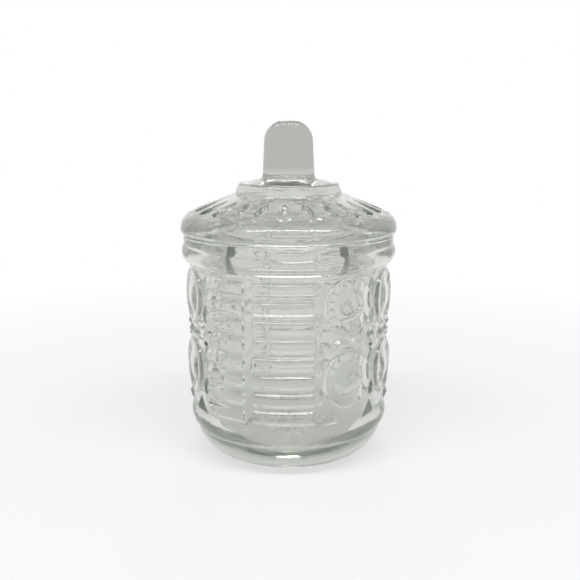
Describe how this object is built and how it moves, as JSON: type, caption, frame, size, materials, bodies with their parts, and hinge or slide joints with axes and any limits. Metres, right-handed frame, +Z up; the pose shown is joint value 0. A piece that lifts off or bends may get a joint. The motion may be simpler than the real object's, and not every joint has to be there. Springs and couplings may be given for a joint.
{
  "type": "lidded jam jar",
  "caption": "Small clear pressed-glass jam jar with a lift-off glass lid, a tongue knob, and a pattern of level bars and round medallions.",
  "frame": {"origin": "on the ground at the middle of the jar's foot", "axes": "+Z up along the jar's axis, -Y is the front with the spoon dip in the rim, +X to the right seen from the front"},
  "size_m": [0.084, 0.084, 0.1298],
  "materials": {
    "jar_glass": "clear fire-polished pressed glass, faintly grey",
    "lid_glass": "clear fire-polished pressed glass, faintly grey"
  },
  "bodies": {
    "jar": {"jar": "jar_glass"},
    "lid": {"lid": "lid_glass"}
  },
  "joints": [
    {"name": "lid_lift", "type": "slide", "parent": "jar", "child": "lid", "axis": [0, 0, 1], "range_m": [0, 0.06]}
  ]
}
